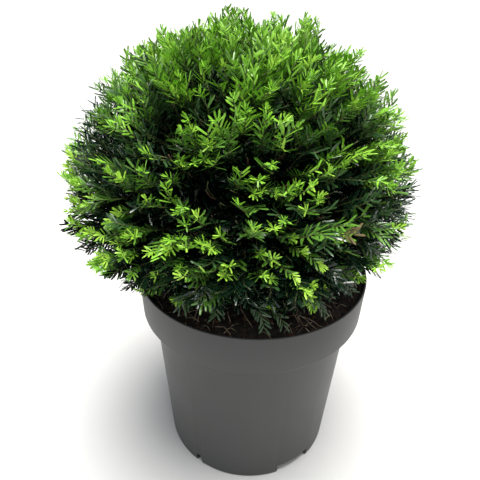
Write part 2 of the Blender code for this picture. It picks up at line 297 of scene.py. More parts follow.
def spin(bm, steps, angle=math.tau):
    # all that bm holds, about the upright axis
    whole = angle == math.tau
    bmesh.ops.spin(
        bm, geom=bm.verts[:] + bm.edges[:] + bm.faces[:], cent=(0, 0, 0), axis=upward,
        angle=angle, steps=steps, use_merge=whole,
    )
    if whole:
        bmesh.ops.remove_doubles(bm, verts=bm.verts, dist=1e-6)


# the corners are (radius, height, rounding), from the axis out and back to it
def turnedMesh(name, corners, steps, smoothDeg, roundSteps=4):
    bm = bmesh.new()
    points = [bm.verts.new((radius, 0, height)) for radius, height, rounding in corners]
    for pair in zip(points, points[1:]):
        bm.edges.new(pair)
    for point, (radius, height, rounding) in zip(points, corners):
        if rounding:
            bmesh.ops.bevel(
                bm, geom=[point], offset=rounding, offset_type="OFFSET", segments=roundSteps,
                profile=0.5, affect="VERTICES", material=-1,
            )
    spin(bm, steps)
    return asMesh(bm, name, smoothDeg)


# the pot

potSizes = {
    "bandHeight": 0.064,
    "bandFootRadius": 0.1727,
    "bandRounding": 0.0045,
    "bodyTopRadius": 0.1556,
    "bodyFootRadius": 0.1391,
    "footRounding": 0.003,
    "neckRounding": 0.003,
    "wall": 0.003,
    "lipRounding": 0.0014,
    "steps": 144,
    "smoothDeg": 30,
    "recessesDeg": ((22.5, 48.0), (-36.0, -31.5)),  # from the front towards +X
    "recessHeight": 0.018,
    "recessDepth": 0.014,
    "recessStepDeg": 2.5,
    "drainRadius": 0.0045,
    "drainInset": 0.0077,
    "drainDepth": 0.012,
    "drainPlaces": (0.25, 0.75),  # along the wide recess
    "cutMargin": 0.006,  # how far a cutter stands out past what it cuts
    "tones": ((0.35, (0.029, 0.031, 0.033)), (0.65, (0.039, 0.0395, 0.0390))),
    "dust": (0.050, 0.0475, 0.042),
}
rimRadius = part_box("pot")[1].x
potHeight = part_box("pot")[1].z
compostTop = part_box("soil")[1].z
bandSlope = (rimRadius - potSizes["bandFootRadius"]) / potSizes["bandHeight"]


def bodyRadius(height):
    share = height / (potHeight - potSizes["bandHeight"])
    return potSizes["bodyFootRadius"] + share * (
        potSizes["bodyTopRadius"] - potSizes["bodyFootRadius"]
    )


def recessBlock(grow, startDeg, endDeg):
    # grow 0 is the hollow itself, and a wall's thickness is the housing round it
    foot, height = potSizes["bodyFootRadius"], potSizes["recessHeight"]
    inner = foot - potSizes["recessDepth"] - grow
    outer = bodyRadius(height) + (-potSizes["wall"] / 2 if grow else potSizes["cutMargin"])
    low, top = potSizes["wall"] / 2 if grow else -potSizes["cutMargin"], height + grow
    extra = grow / foot
    start, end = math.radians(startDeg) - extra, math.radians(endDeg) + extra
    bm = bmesh.new()
    section = [
        bm.verts.new((radius, 0, z))
        for radius, z in ((inner, low), (outer, low), (outer, top), (inner, top))
    ]
    bm.faces.new(section)
    turn = Matrix.Rotation(start - math.pi / 2, 3, "Z")
    bmesh.ops.rotate(bm, verts=bm.verts, matrix=turn)
    spin(bm, max(2, round((endDeg - startDeg) / potSizes["recessStepDeg"])), end - start)
    return asMesh(bm, "recess")


def drainCutter(angleDeg):
    bm = bmesh.new()
    bmesh.ops.create_cone(
        bm, cap_ends=True, segments=24, radius1=potSizes["drainRadius"],
        radius2=potSizes["drainRadius"], depth=potSizes["drainDepth"],
    )
    radius, angle = potSizes["bodyFootRadius"] - potSizes["drainInset"], math.radians(angleDeg)
    place = (radius * math.sin(angle), -radius * math.cos(angle), potSizes["recessHeight"])
    bmesh.ops.translate(bm, verts=bm.verts, vec=place)
    return asMesh(bm, "drain")


def plasticShader():
    paint = Shader("grey plastic", (0.1, 0.1, 0.1), 0.5)
    cloud = paint.noise(9, 4)
    grain = paint.noise(900, 2)
    streaks = paint.noise(26, 3, stretch=(1, 1, 0.08))
    tone = paint.ramp(cloud, *potSizes["tones"])
    dusty = paint.mixed(0.35 * streaks, tone, potSizes["dust"])
    paint.set(Base_Color=dusty, Roughness=0.40 + 0.22 * cloud)
    paint.bump(grain + 0.6 * streaks, 0.00006)
    return paint


def makePot():
    size = potSizes
    step, wall, lip = potHeight - size["bandHeight"], size["wall"], size["lipRounding"]
    inStep = step + wall
    corners = (
        (0, 0, 0),
        (size["bodyFootRadius"], 0, size["footRounding"]),
        (size["bodyTopRadius"], step, size["neckRounding"]),
        (size["bandFootRadius"], step, size["bandRounding"]),
        (rimRadius, potHeight, lip),
        (rimRadius - wall, potHeight, lip),
        (size["bandFootRadius"] - wall + bandSlope * wall, inStep, size["neckRounding"]),
        (bodyRadius(inStep) - wall, inStep, size["neckRounding"]),
        (bodyRadius(wall) - wall, wall, size["footRounding"]),
        (0, wall, 0),
    )
    mesh = turnedMesh("pot", corners, size["steps"], size["smoothDeg"])
    joins, cuts = [], []
    for halfTurn in (0, 180):
        for start, end in size["recessesDeg"]:
            joins.append(("UNION", recessBlock(wall, start + halfTurn, end + halfTurn)))
            cuts.append(("DIFFERENCE", recessBlock(0, start + halfTurn, end + halfTurn)))
        start, end = size["recessesDeg"][0]
        for share in size["drainPlaces"]:
            angle = start + share * (end - start) + halfTurn
            cuts.append(("DIFFERENCE", drainCutter(angle)))
    mesh = smoothed(cutMesh(mesh, joins + cuts), size["smoothDeg"])
    addPiece("nursery_pot", mesh, plasticShader(), ["pot"])
    print("pot:", len(mesh.polygons), "faces")


# the compost and what lies on it

compostSizes = {
    "edgeBelowRim": 0.012,
    "clearance": 0.0004,
    "bottom": 0.026,
    "flatRadius": 0.045,
    "ringStep": 0.0024,
    "steps": 260,
    "smoothDeg": 60,
    "lumps": ((26, 0.0050), (70, 0.0030), (190, 0.0016)),  # noise scale, height
    "sink": 0.0018,
    "highestBelowRim": 0.003,
    "shoulder": 0.004,  # how far over the band's foot the compost draws in to the body
    "shoulderGap": 0.0015,
    "neckGap": 0.002,
    "tones": ((0.30, (0.006, 0.0045, 0.0035)), (0.55, (0.020, 0.013, 0.009)),
              (0.78, (0.060, 0.036, 0.022))),
    "grit": (0.030, 0.019, 0.013),
}


def compostRadius(height):
    # the pot's inner wall, where the compost ends
    below = potHeight - height
    return rimRadius - potSizes["wall"] - bandSlope * below - compostSizes["clearance"]


compostEdge = potHeight - compostSizes["edgeBelowRim"]
compostReach = compostRadius(compostEdge)


def compostHeight(x, y):
    size = compostSizes
    flat = size["flatRadius"]
    share = clamped((math.hypot(x, y) - flat) / (compostReach - flat))
    height = compostTop + (compostEdge - compostTop) * share - size["sink"]
    for scale, depth in size["lumps"]:
        height += depth * noise.noise(Vector((x * scale, y * scale, scale)))
    return min(height, potHeight - size["highestBelowRim"])


def compostShader():
    paint = Shader("compost", (0.02, 0.014, 0.01), 0.95)
    clods = paint.noise(160, 5)
    grit = paint.noise(620, 3)
    dark = paint.ramp(clods, *compostSizes["tones"])
    paint.set(Base_Color=paint.mixed(0.5 * grit, dark, compostSizes["grit"]))
    paint.set(Roughness=0.78 + 0.2 * grit)
    paint.bump(clods + 0.5 * grit, 0.0012)
    return paint


def makeCompost():
    size = compostSizes
    rings = round(compostReach / size["ringStep"])
    inner = bodyRadius(size["bottom"]) - potSizes["wall"] - size["clearance"]
    step = potHeight - potSizes["bandHeight"] + potSizes["wall"]
    shoulder = step + size["shoulder"]
    bm = bmesh.new()
    profile = [(compostReach * k / rings, compostEdge) for k in range(rings + 1)]
    profile += [(compostRadius(shoulder) - size["shoulderGap"], shoulder)]
    profile += [(bodyRadius(step) - potSizes["wall"] - size["neckGap"], step)]
    profile += [(inner, size["bottom"]), (0, size["bottom"])]
    points = [bm.verts.new((radius, 0, height)) for radius, height in profile]
    for pair in zip(points, points[1:]):
        bm.edges.new(pair)
    spin(bm, size["steps"])
    for vert in bm.verts:
        if vert.co.z > compostEdge - 1e-4:
            vert.co.z = compostHeight(vert.co.x, vert.co.y)
    mesh = asMesh(bm, "compost", size["smoothDeg"])
    addPiece("compost", mesh, compostShader(), ["soil"])
    print("compost:", len(mesh.polygons), "faces")


def turnsOf(rng, count):
    # random rotations, from random unit quaternions
    w, x, y, z = rng.normal(size=(4, count))
    length = np.sqrt(w * w + x * x + y * y + z * z)
    w, x, y, z = w / length, x / length, y / length, z / length
    return np.stack([
        np.stack([1 - 2 * (y * y + z * z), 2 * (x * y - z * w), 2 * (x * z + y * w)], -1),
        np.stack([2 * (x * y + z * w), 1 - 2 * (x * x + z * z), 2 * (y * z - x * w)], -1),
        np.stack([2 * (x * z - y * w), 2 * (y * z + x * w), 1 - 2 * (x * x + y * y)], -1),
    ], -2)


litter = {
    "edgeGap": 0.004,
    "bareShare": 0.04,  # of the compost's area, round the stem
    "lift": 0.25,
    "stretch": (0.6, 1.2),
    "lumps": (0.7, 1.3),
    "paintShares": (0.45, 1.4),
}
crumbs = {
    "compost_crumbs": {"count": 2600, "size": (0.0012, 0.0036), "flat": 0.7, "seed": 3,
                       "colour": (0.016, 0.011, 0.008), "roughness": 0.95},
    "bark_bits": {"count": 520, "size": (0.0012, 0.0048), "flat": 0.35, "seed": 4,
                  "colour": (0.085, 0.038, 0.020), "roughness": 0.85},
    "pale_bits": {"count": 170, "size": (0.0010, 0.0030), "flat": 0.35, "seed": 5,
                  "colour": (0.24, 0.17, 0.10), "roughness": 0.85},
}


def crumbShader(name, kind):
    paint = Shader(name.replace("_", " "), kind["colour"], kind["roughness"])
    pattern = paint.noise(420, 3)
    dull, pale = (
        tuple(share * part for part in kind["colour"]) for share in litter["paintShares"]
    )
    paint.set(Base_Color=paint.mixed(pattern, dull, pale))
    paint.bump(pattern, 0.0006)
    return paint


def makeCrumbs():
    bm = bmesh.new()
    bmesh.ops.create_icosphere(bm, subdivisions=1, radius=1)
    ball = np.array([vert.co[:] for vert in bm.verts])
    triangles = np.array([[vert.index for vert in face.verts] for face in bm.faces])
    bm.free()
    reach = compostReach - litter["edgeGap"]
    for name, kind in crumbs.items():
        rng = np.random.default_rng(kind["seed"])
        count = kind["count"]
        radius = reach * np.sqrt(rng.uniform(litter["bareShare"], 1, count))
        angle = rng.uniform(0, math.tau, count)
        x, y = radius * np.cos(angle), radius * np.sin(angle)
        size = rng.uniform(*kind["size"], count) * rng.uniform(0.5, 1, count)
        z = np.array([compostHeight(*place) for place in zip(x, y)]) + litter["lift"] * size
        stretch = rng.uniform(*litter["stretch"], (count, 3))
        stretch = size[:, None] * stretch * (1, 1, kind["flat"])
        lumps = rng.uniform(*litter["lumps"], (count, len(ball), 1))
        shapes = ball[None] * lumps * stretch[:, None]
        turned = np.einsum("nij,nkj->nki", turnsOf(rng, count), shapes)
        points = turned + np.stack([x, y, z], -1)[:, None]
        faces = triangles[None] + (np.arange(count) * len(ball))[:, None, None]
        mesh = meshOfTriangles(name, points.reshape(-1, 3), faces.reshape(-1, 3))
        addPiece(name, mesh, crumbShader(name, kind))
    print("crumbs laid on the compost")


# limbs from arrays: closed tapering tubes along paths (n, k, 3) with radii (n, k)
def tubeArrays(paths, radii, sides):
    count, rings, _ = paths.shape
    along = np.gradient(paths, axis=1)
    along /= np.linalg.norm(along, axis=2, keepdims=True)
    whole = paths[:, -1] - paths[:, 0]
    other = np.where(np.abs(whole[:, 2:]) > 0.7 * np.linalg.norm(whole, axis=1)[:, None],
                     [[1.0, 0, 0]], [[0, 0, 1.0]])
    side = other[:, None] - along * np.einsum("nkj,nj->nk", along, other)[..., None]
    side /= np.linalg.norm(side, axis=2, keepdims=True)
    across = np.cross(along, side)
    angles = np.arange(sides) * math.tau / sides
    ring = (
        np.cos(angles)[None, None, :, None] * side[:, :, None]
        + np.sin(angles)[None, None, :, None] * across[:, :, None]
    )
    points = paths[:, :, None] + radii[:, :, None, None] * ring
    pattern = []
    for k in range(rings - 1):
        for s in range(sides):
            a, b = k * sides + s, k * sides + (s + 1) % sides
            pattern += [(a, b, b + sides), (a, b + sides, a + sides)]
    for s in range(1, sides - 1):
        end = (rings - 1) * sides
        pattern += [(0, s + 1, s), (end, end + s, end + s + 1)]
    pattern = np.array(pattern)
    faces = pattern[None] + (np.arange(count) * rings * sides)[:, None, None]
    return points.reshape(-1, 3), faces.reshape(-1, 3)


def taperedTubes(paths, thick, thin, sides):
    paths = np.array([[tuple(point) for point in path] for path in paths])
    radii = np.tile(np.linspace(thick, thin, paths.shape[1]), (len(paths), 1))
    return tubeArrays(paths, radii, sides)


strands = {
    "count": 230,
    "length": (0.014, 0.060),
    "radius": (0.0003, 0.0008),
    "points": 8,
    "bend": 0.55,
    "wander": 0.08,
    "lift": (0.0004, 0.0055),
    "gap": 0.0004,  # between a root's middle line and the compost
    "edgeGap": 0.006,
    "bareShare": 0.1,
    "tones": ((0.35, (0.22, 0.14, 0.085)), (0.65, (0.62, 0.50, 0.36))),
    "seed": 11,
}


def strandShader():
    paint = Shader("dry roots", (0.50, 0.40, 0.28), 0.8)
    pattern = paint.noise(90, 2)
    paint.set(Base_Color=paint.ramp(pattern, *strands["tones"]))
    paint.bump(paint.noise(700, 2), 0.0002)
    return paint


def makeStrands():
    rng = np.random.default_rng(strands["seed"])
    reach = compostReach - strands["edgeGap"]
    paths, radii = [], []
    while len(paths) < strands["count"]:
        spot = reach * math.sqrt(rng.uniform(strands["bareShare"], 1))
        angle, heading = rng.uniform(0, math.tau, 2)
        place = Vector((spot * math.cos(angle), spot * math.sin(angle)))
        step = rng.uniform(*strands["length"]) / (strands["points"] - 1)
        turn = rng.normal(0, strands["bend"]) / strands["points"]
        lift = rng.uniform(*strands["lift"])
        path = []
        for k in range(strands["points"]):
            share = k / (strands["points"] - 1)
            hump = lift * math.sin(math.pi * share)
            height = compostHeight(place.x, place.y) + strands["gap"] + hump
            path.append((place.x, place.y, height))
            heading += turn + rng.normal(0, strands["wander"])
            place += step * Vector((math.cos(heading), math.sin(heading)))
        if max(math.hypot(x, y) for x, y, z in path) < reach:
            paths.append(path)
            radii.append(rng.uniform(*strands["radius"]) * np.linspace(1, 0.5, len(path)))
    mesh = meshOfTriangles("roots", *tubeArrays(np.array(paths), np.array(radii), 5))
    mesh.shade_smooth()
    addPiece("dry_roots", mesh, strandShader())
    print("roots:", len(paths))


# the stem and the boughs, as the solids have them, with the bark's relief

stemSizes = {
    "top": 0.428,
    "lean": (-0.014, 0.003, 0),
    "radii": ((0.0, 0.025), (0.05, 0.019), (0.16, 0.0155), (0.5, 0.0135), (1.0, 0.0100)),
    "flareLobes": 5,
    "flareDepth": 0.16,
    "flareShare": 0.25,
    "rings": 34,
    "ringPower": 1.4,  # rings stand closer together towards the foot
    "sides": 56,
    "sunk": 0.004,
    "relief": 0.0011,
}
boughSizes = {
    "footRadius": 0.0056,
    "tipRadius": 0.0038,
    "lowest": 0.345,
    "highest": 0.412,
    "rise": 0.55,
    "pulls": (0.42, 0.35),
    "leaderRadius": 0.0075,
    "leaderBelowTop": 0.004,
    "rings": 26,
    "sides": 16,
    "relief": 0.0005,
}
bark = {
    "tones": ((0.32, (0.040, 0.022, 0.015)), (0.52, (0.130, 0.066, 0.040)),
              (0.72, (0.235, 0.150, 0.100))),
    "dust": (0.060, 0.038, 0.028),
    "ridgeSizes": (3.2, 26),  # round the limb and along it
    "flakeSize": 210,
    "smoothDeg": 50,
}
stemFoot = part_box("trunk")[0].z


def stemPoint(height):
    share = max(0.0, (height - stemFoot) / (stemSizes["top"] - stemFoot))
    return Vector(stemSizes["lean"]) * share**1.5 + height * upward


def stemRadius(share):
    shares, radii = zip(*stemSizes["radii"])
    return float(np.interp(share, shares, radii))


def barkRelief(point, angle, run, depth):
    # long flaking ridges: noise drawn out along the limb
    around, lengthwise = bark["ridgeSizes"]
    ridges = noise.noise(
        Vector((math.cos(angle) * around, math.sin(angle) * around, run * lengthwise))
    )
    flakes = noise.noise(point * bark["flakeSize"])
    return depth * (1.5 * abs(ridges) - 0.5 + 0.35 * flakes)


def limbMesh(name, path, radii, sides, depth, flare=None):
    # one ring of edges, extruded from point to point along the path
    bm = bmesh.new()
    ring = bmesh.ops.create_circle(bm, cap_ends=False, segments=sides, radius=1)["verts"]
    edges = bm.edges[:]
    run, side = 0.0, (path[-1] - path[0]).orthogonal().normalized()
    first = last = None
    for k, (point, radius) in enumerate(zip(path, radii)):
        along = (path[min(k + 1, len(path) - 1)] - path[max(k - 1, 0)]).normalized()
        side = (side - along * side.dot(along)).normalized()
        across = along.cross(side)
        run += (point - path[max(k - 1, 0)]).length
        if k:
            grown = bmesh.ops.extrude_edge_only(bm, edges=edges)["geom"]
            edges = [item for item in grown if isinstance(item, bmesh.types.BMEdge)]
            ring = [item for item in grown if isinstance(item, bmesh.types.BMVert)]
            bm.verts.index_update()
            edges = [edge for edge in edges if all(vert in ring for vert in edge.verts)]
        for vert in ring:
            angle = math.tau * (vert.index % sides) / sides
            reach = radius * (1 + (flare(k, angle) if flare else 0))
            spot = point + reach * (math.cos(angle) * side + math.sin(angle) * across)
            reach += barkRelief(spot, angle, run, depth)
            vert.co = point + reach * (math.cos(angle) * side + math.sin(angle) * across)
        last = edges
        first = first or edges
    bmesh.ops.contextual_create(bm, geom=first)
    bmesh.ops.contextual_create(bm, geom=last)
    return asMesh(bm, name, bark["smoothDeg"])


def curve(start, startPull, endPull, end, steps):
    found = []
    for i in range(steps):
        t = i / (steps - 1)
        found.append(
            (1 - t) ** 3 * start
            + 3 * (1 - t) ** 2 * t * startPull
            + 3 * (1 - t) * t**2 * endPull
            + t**3 * end
        )
    return found


def grownPath(start, startWay, end, endWay, steps, pulls):
    # leaves along startWay and arrives along endWay
    reach = (end - start).length
    return curve(
        start, start + pulls[0] * reach * startWay, end - pulls[1] * reach * endWay, end, steps
    )


def barkShader():
    paint = Shader("bark", (0.115, 0.062, 0.038), 0.85)
    flakes = paint.noise(70, 5, stretch=(1, 1, 0.3))
    fine = paint.noise(420, 3)
    tone = paint.ramp(flakes, *bark["tones"])
    paint.set(Base_Color=paint.mixed(0.4 * fine, tone, bark["dust"]))
    paint.set(Roughness=0.75 + 0.2 * fine)
    paint.bump(flakes + 0.4 * fine, 0.0010)
    return paint


# the crown's shape and the ways its parts grow, by the same rule as the solids

crown = {
    "centre": (-0.0224, 0.0, 0.4447),
    "radius": 0.2366,
    "edgeDrop": 0.0220,
    "footRadius": 0.124,
    "footDrop": 0.102,
    "edgeSharpness": 26,
    "lumpDepth": 0.040,
    "lumpSize": 2.8,
    "lumpPlace": (15.4, 9.4, 5.4),
    "lowestMassDeg": 112,
    "stemStart": 0.066,
    "stemEnd": 0.106,
    "stemRadii": (0.0038, 0.0030),
}
crownCentre = Vector(crown["centre"])


def spiralWays(count, lowestDeg):
    span = 1 - math.cos(math.radians(lowestDeg))
    found = []
    for i in range(count):
        z = 1 - span * (i + 0.5) / count
        turn = i * math.pi * (3 - math.sqrt(5))
        level = math.sqrt(1 - z * z)
        found.append(Vector((level * math.cos(turn), level * math.sin(turn), z)))
    return found


def outline(way):
    level, drop = math.hypot(way.x, way.y), -way.z
    run = crown["radius"] - crown["footRadius"]
    fall = crown["footDrop"] - crown["edgeDrop"]
    under = fall * crown["radius"] + run * crown["edgeDrop"]
    under /= max(fall * level + run * drop, 1e-6)
    foot = crown["footDrop"] / max(drop, 1e-6)
    total = sum(reach ** -crown["edgeSharpness"] for reach in (crown["radius"], under, foot))
    lump = crown["lumpDepth"] * noise.noise(way * crown["lumpSize"] + Vector(crown["lumpPlace"]))
    return total ** (-1 / crown["edgeSharpness"]) * (1 + lump)


def crownPoint(way, share):
    return crownCentre + way * outline(way) * share


def makeStemAndBoughs(ways):
    paint = barkShader()
    size = stemSizes
    shares = [(k / (size["rings"] - 1)) ** size["ringPower"] for k in range(size["rings"])]
    path = [stemPoint(stemFoot + share * (size["top"] - stemFoot)) for share in shares]
    path[0] = stemPoint(stemFoot - size["sunk"])
    radii = [stemRadius(share) for share in shares]

    def flare(k, angle):
        fade = max(0.0, 1 - shares[k] / size["flareShare"])
        return size["flareDepth"] * fade * math.cos(size["flareLobes"] * angle)

    mesh = limbMesh("stem", path, radii, size["sides"], size["relief"], flare)
    addPiece("stem", mesh, paint, ["trunk"])
    bough = boughSizes
    leader = max(range(len(ways)), key=lambda i: ways[i].z)
    others = sorted((i for i in range(len(ways)) if i != leader), key=lambda i: ways[i].z)
    for i, way in enumerate(ways):
        if i == leader:
            start = stemPoint(size["top"] - bough["leaderBelowTop"])
            foot, rise = bough["leaderRadius"], upward
        else:
            rank = others.index(i) / (len(others) - 1)
            height = bough["lowest"] + rank * (bough["highest"] - bough["lowest"])
            start, foot = stemPoint(height), bough["footRadius"]
            level = Vector((way.x, way.y, 0)).normalized()
            rise = (level + bough["rise"] * upward).normalized()
        end = crownCentre + way * crown["stemStart"]
        path = grownPath(start, rise, end, way, bough["rings"], bough["pulls"])
        radii = np.linspace(foot, bough["tipRadius"], bough["rings"]).tolist()
        mesh = limbMesh(f"bough {i}", path, radii, bough["sides"], bough["relief"])
        addPiece(f"limb_{i + 1:02d}", mesh, paint, [f"bough_{i + 1:02d}"])
    print("stem and boughs made")


# twigs and shoots: limbs part into twigs, and twigs into the shoots that bear the needles

growth = {
    "limbs": 96,
    "lowestLimbDeg": 120,
    "limbReach": 0.60,
    "limbFrom": (0.25, 0.95),
    "limbTurn": (0.7, 0.3),  # a limb's end points outwards, and partly the way of its mass
    "limbRadii": (0.0026, 0.0017),
    "twigs": 560,
    "lowestTwigDeg": 124,
    "twigReach": (0.76, 0.86),
    "twigFrom": (0.45, 0.7, 0.9, 1.0),
    "twigSideways": (0.1, 0.5),
    "twigRadii": (0.0016, 0.0009),
    "twigJitter": 0.035,
    "underside": -0.12,
    "shootRadii": (0.0009, 0.0005),
    "gather": 0.15,
    "doming": 12.0,
    "clumpDepth": 0.070,
    "hollowsAbove": 0.26,
    "hollowDepth": 1.2,
    "hollowSize": 5.5,
    "hollowFade": (1.2, 2),  # hollows by chance fade out towards the front
    "clumpSize": 8.0,
    "leanUp": 0.45,
    "droop": 0.60,
    "drift": (3.2, 6.0, 0.6),  # how sprays turn aside: noise scale, turn, and spread of the turn
    "vigourSpread": 0.013,
    "pulls": (0.40, 0.40),
    "steps": 7,
    "greenTones": ((0.38, (0.040, 0.070, 0.016)), (0.62, (0.110, 0.120, 0.038))),
}
layers = {
    "outer": {"perTwig": 4, "reach": (0.945, 1.012), "from": (0.3, 0.95), "jitter": 0.045,
              "sideways": (0.4, 1.2), "skipUnder": 5, "seed": 21},
    "inner": {"perTwig": 7, "reach": (0.58, 0.87), "from": (0.0, 0.6), "jitter": 0.06,
              "sideways": (0.3, 1.2), "skipUnder": 6, "seed": 22},
    # painted shade: big near-black needles fill the crown's middle, where the real twigs are
    # bare
    "core": {"perTwig": 4, "reach": (0.34, 0.58), "from": (0.0, 0.2), "jitter": 0.08,
             "sideways": (0.6, 1.5), "skipUnder": 6, "seed": 23},
}
hollows = (
    # the deeper gaps: angle from the front towards +X, height angle, half width, depth
    (-27, 45, 6.5, 0.34), (-9, 49, 5.5, 0.30), (-23, 34, 5.0, 0.28), (-13, 27, 5.5, 0.24),
    (-5, 26, 4.5, 0.22), (5, 36, 5.0, 0.24), (19, 32, 6.0, 0.26), (35, 22, 5.5, 0.24),
    (4, 8, 4.5, 0.20), (-21, 13, 4.5, 0.16), (16, 9, 4.5, 0.18), (29, 2, 4.5, 0.16),
    (24, 47, 5.5, 0.30), (43, 39, 5.5, 0.28), (-24, 2, 4.5, 0.18), (-37, 18, 4.0, 0.18),
)
# painted shade: shoots in hollows deeper than the first number take tones lowered by the second
hollowShade = {"from": 0.06, "darker": 2.0}


def wayAt(turnDeg, riseDeg):
    turn, rise = math.radians(turnDeg), math.radians(riseDeg)
    return Vector((
        math.sin(turn) * math.cos(rise), -math.cos(turn) * math.cos(rise), math.sin(rise)
    ))


def hollowAt(way):
    deep = noise.noise(growth["hollowSize"] * way + Vector((9, 4, 7))) - growth["hollowsAbove"]
    deep = max(0.0, growth["hollowDepth"] * deep * (1 - max(0.0, way.z) ** 4))
    middle, rise = growth["hollowFade"]
    deep *= clamped(middle + rise * way.y)
    for turnDeg, riseDeg, halfDeg, depth in hollows:
        apart = math.degrees(way.angle(wayAt(turnDeg, riseDeg))) / halfDeg
        deep = max(deep, depth * (1 - apart**2))
    return deep


def jittered(way, amount, rng):
    return (way + Vector([rng.uniform(-amount, amount) for _ in range(3)])).normalized()


def shootPath(start, startWay, end, endWay):
    return grownPath(start, startWay, end, endWay, growth["steps"], growth["pulls"])


def tipWay(way, sideways, rng):
    # shoots turn up to the light on the dome, and hang over on the underside
    light = clamped((way.z + 0.25) / 0.5)
    high = max(0.0, way.z)
    pull = growth["leanUp"] * light * (1 - high**2) - growth["droop"] * (1 - light)
    side = (upward - way.z * way + Vector((0.001, 0, 0))).normalized()
    scale, turn, spread = growth["drift"]
    drift = noise.noise(way * scale + Vector((3, 1, 2))) * turn + rng.gauss(0, spread)
    side.rotate(Quaternion(way, drift))
    return (way + pull * upward + rng.uniform(*sideways) * side).normalized()


def nearestOf(ways, way):
    return max(range(len(ways)), key=lambda i: ways[i].dot(way))


def along(path, share):
    spot = share * (len(path) - 1)
    k = min(int(spot), len(path) - 2)
    point = path[k].lerp(path[k + 1], spot - k)
    return point, (path[k + 1] - path[k]).normalized()


def growTwigs(massWays):
    rng = random.Random(7)
    stems = [
        [crownCentre + way * crown["stemStart"], crownCentre + way * crown["stemEnd"]]
        for way in massWays
    ]
    limbs, limbWays = [], []
    for way in spiralWays(growth["limbs"], growth["lowestLimbDeg"]):
        mass = nearestOf(massWays, way)
        start, startWay = along(stems[mass], rng.uniform(*growth["limbFrom"]))
        end = crownPoint(way, growth["limbReach"])
        own, other = growth["limbTurn"]
        endWay = (own * way + other * massWays[mass]).normalized()
        limbs.append(shootPath(start, startWay, end, endWay))
        limbWays.append(way)
    twigs = []
    for k, way in enumerate(spiralWays(growth["twigs"], growth["lowestTwigDeg"])):
        way = jittered(way, growth["twigJitter"], rng)
        if way.z < growth["underside"] and k % 2:
            continue
        limb = limbs[nearestOf(limbWays, way)]
        start, startWay = along(limb, rng.choice(growth["twigFrom"]))
        end = crownPoint(way, rng.uniform(*growth["twigReach"]))
        path = shootPath(start, startWay, end, tipWay(way, growth["twigSideways"], rng))
        twigs.append({"path": path, "way": way, "vigour": rng.gauss(0, growth["vigourSpread"])})
    return stems, limbs, twigs


def growShoots(twigs, layer):
    rng = random.Random(layer["seed"])
    twigWays = [twig["way"] for twig in twigs]
    shoots = []
    count = growth["twigs"] * layer["perTwig"]
    for k, way in enumerate(spiralWays(count, growth["lowestTwigDeg"])):
        way = jittered(way, layer["jitter"], rng)
        if way.z < growth["underside"] and k % layer["skipUnder"] == 0:
            continue
        twig = twigs[nearestOf(twigWays, way)]
        gather = growth["gather"] * (1 - 0.5 * max(0.0, way.z))
        away = way.angle(twig["way"])
        way = way.lerp(twig["way"], gather).normalized()
        start, startWay = along(twig["path"], rng.uniform(*layer["from"]))
        clump = noise.noise(way * growth["clumpSize"])
        reach = rng.uniform(*layer["reach"]) + twig["vigour"]
        reach += growth["clumpDepth"] * min(0.2, clump) - growth["doming"] * gather * away**2
        hollow = hollowAt(way)
        reach -= hollow
        end = crownPoint(way, reach)
        leave = (0.5 * startWay + (end - start).normalized()).normalized()
        path = shootPath(start, leave, end, tipWay(way, layer["sideways"], rng))
        # painted shade: shoots in the deeper hollows take darker tones
        clump -= hollowShade["darker"] * (hollow > hollowShade["from"])
        shoots.append({"path": path, "way": way, "clump": clump})
    return shoots


# sprays that hang over the compost all round, and the few that stand out of the clipped outline
hanging = {
    "count": 44,
    "startHeight": (0.355, 0.385),
    "startRadius": (0.085, 0.125),
    "endRadius": (0.120, 0.176),
    "endAbove": (0.010, 0.026),
    "turnJitter": 0.4,
    "sideways": 0.35,
    "withCrown": 0.6,  # how far they follow the crown's middle off the pot's axis
    "rimGap": 0.008,
    "leaveRise": 0.25,
    "endFall": 0.75,
    "seed": 31,
}
sprigs = (
    # angle from the front towards +X, height angle, how far past the outline
    (-163, 70, 1.075), (78, 6, 1.03), (60, -22, 1.02), (-60, -22, 1.02), (-78, -20, 1.02),
    (-88, 30, 1.04), (-96, 36, 1.04), (-82, 42, 1.04), (-104, 46, 1.03), (-90, 22, 1.03),
    (80, 34, 1.03), (94, 42, 1.03), (88, 24, 1.03),
)
sprigShape = {"from": 0.80, "needleReach": 0.03, "rise": 0.25, "clump": 0.2}


def growHanging():
    size, rng = hanging, random.Random(hanging["seed"])
    shoots = []
    for k in range(size["count"]):
        jitter = rng.uniform(-size["turnJitter"], size["turnJitter"])
        turn = math.tau * (k + jitter) / size["count"]
        level = Vector((math.sin(turn), -math.cos(turn), 0))
        start = level * rng.uniform(*size["startRadius"])
        start += rng.uniform(*size["startHeight"]) * upward
        start += Vector((crownCentre.x, crownCentre.y, 0)) * size["withCrown"]
        aside = rng.uniform(-size["sideways"], size["sideways"])
        side = Vector((-level.y, level.x, 0)) * aside
        end = (level + side).normalized() * rng.uniform(*size["endRadius"])
        outside = end.length > rimRadius - potSizes["wall"] - size["rimGap"]
        floor = potHeight if outside else compostTop
        end += (floor + rng.uniform(*size["endAbove"])) * upward
        leave = (level + size["leaveRise"] * upward).normalized()
        endWay = (level + side - size["endFall"] * upward).normalized()
        path = shootPath(start, leave, end, endWay)
        shoots.append({"path": path, "way": (level - 0.5 * upward).normalized(), "clump": -0.2})
    return shoots


def growSprigs():
    shoots = []
    for turnDeg, riseDeg, reach in sprigs:
        way = wayAt(turnDeg, riseDeg)
        start = crownPoint(way, sprigShape["from"])
        end = crownPoint(way, reach - sprigShape["needleReach"])
        path = shootPath(start, way, end, (way + sprigShape["rise"] * upward).normalized())
        shoots.append({"path": path, "way": way, "clump": sprigShape["clump"]})
    return shoots


